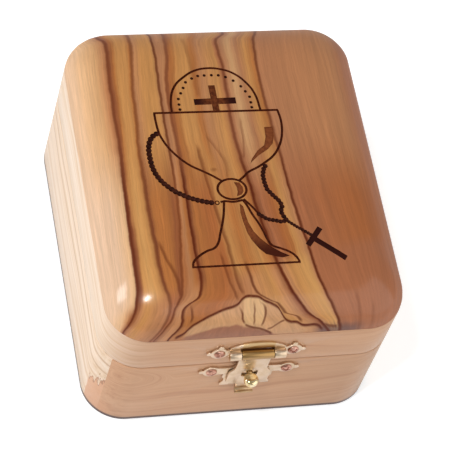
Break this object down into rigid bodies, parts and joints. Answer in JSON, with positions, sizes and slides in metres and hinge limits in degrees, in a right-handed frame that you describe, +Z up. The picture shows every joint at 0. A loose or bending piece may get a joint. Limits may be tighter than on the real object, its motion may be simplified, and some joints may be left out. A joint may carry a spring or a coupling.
{
  "type": "rosary box",
  "caption": "Small hinged wooden keepsake box with a rounded lid slab and a brass turn-knob hasp, for a rosary or other small devotional keepsakes.",
  "frame": {"origin": "centre of the underside of the box body, on the surface it stands on", "axes": "+Z up, +X to the right of someone facing the latch, -Y towards the latch, +Y towards the hinges"},
  "size_m": [0.076, 0.0977, 0.0527],
  "materials": {
    "slab_wood": "clear gloss lacquer over figured olive wood",
    "board_wood": "clear gloss lacquer over pale olive wood",
    "bottom_wood": "clear lacquer over plain wood",
    "sheet_brass": "bright brass plate",
    "pin_brass": "drawn brass wire",
    "screw_brass": "bright brass screws",
    "knob_brass": "polished turned brass"
  },
  "bodies": {
    "box": {"front_board": "board_wood", "back_board": "board_wood", "left_board": "board_wood", "right_board": "board_wood", "bottom_panel": "bottom_wood", "left_hinge_body_leaf": "sheet_brass", "right_hinge_body_leaf": "sheet_brass", "left_hinge_pin": "pin_brass", "right_hinge_pin": "pin_brass", "hinge_body_screws": "screw_brass", "catch_plate": "sheet_brass", "catch_screws": "screw_brass"},
    "lid": {"top_slab": "slab_wood", "lid_front_rail": "board_wood", "lid_back_rail": "board_wood", "lid_left_rail": "board_wood", "lid_right_rail": "board_wood", "left_hinge_lid_leaf": "sheet_brass", "right_hinge_lid_leaf": "sheet_brass", "hinge_lid_screws": "screw_brass", "latch_top_plate": "sheet_brass", "latch_top_screws": "screw_brass", "hasp_pin": "pin_brass"},
    "hasp": {"hasp": "sheet_brass"},
    "turn_knob": {"turn_knob": "knob_brass"}
  },
  "joints": [
    {"name": "lid_hinge", "type": "hinge", "parent": "box", "child": "lid", "pos_m": [0, 0.0462, 0.02785], "axis": [-1, 0, 0], "range_deg": [0, 170]},
    {"name": "hasp_hinge", "type": "hinge", "parent": "lid", "child": "hasp", "pos_m": [0, -0.0459, 0.0343], "axis": [-1, 0, 0], "range_deg": [0, 170]},
    {"name": "knob_turn", "type": "hinge", "parent": "box", "child": "turn_knob", "pos_m": [0, -0.048, 0.0246], "axis": [0, -1, 0], "range_deg": [0, 90]}
  ]
}
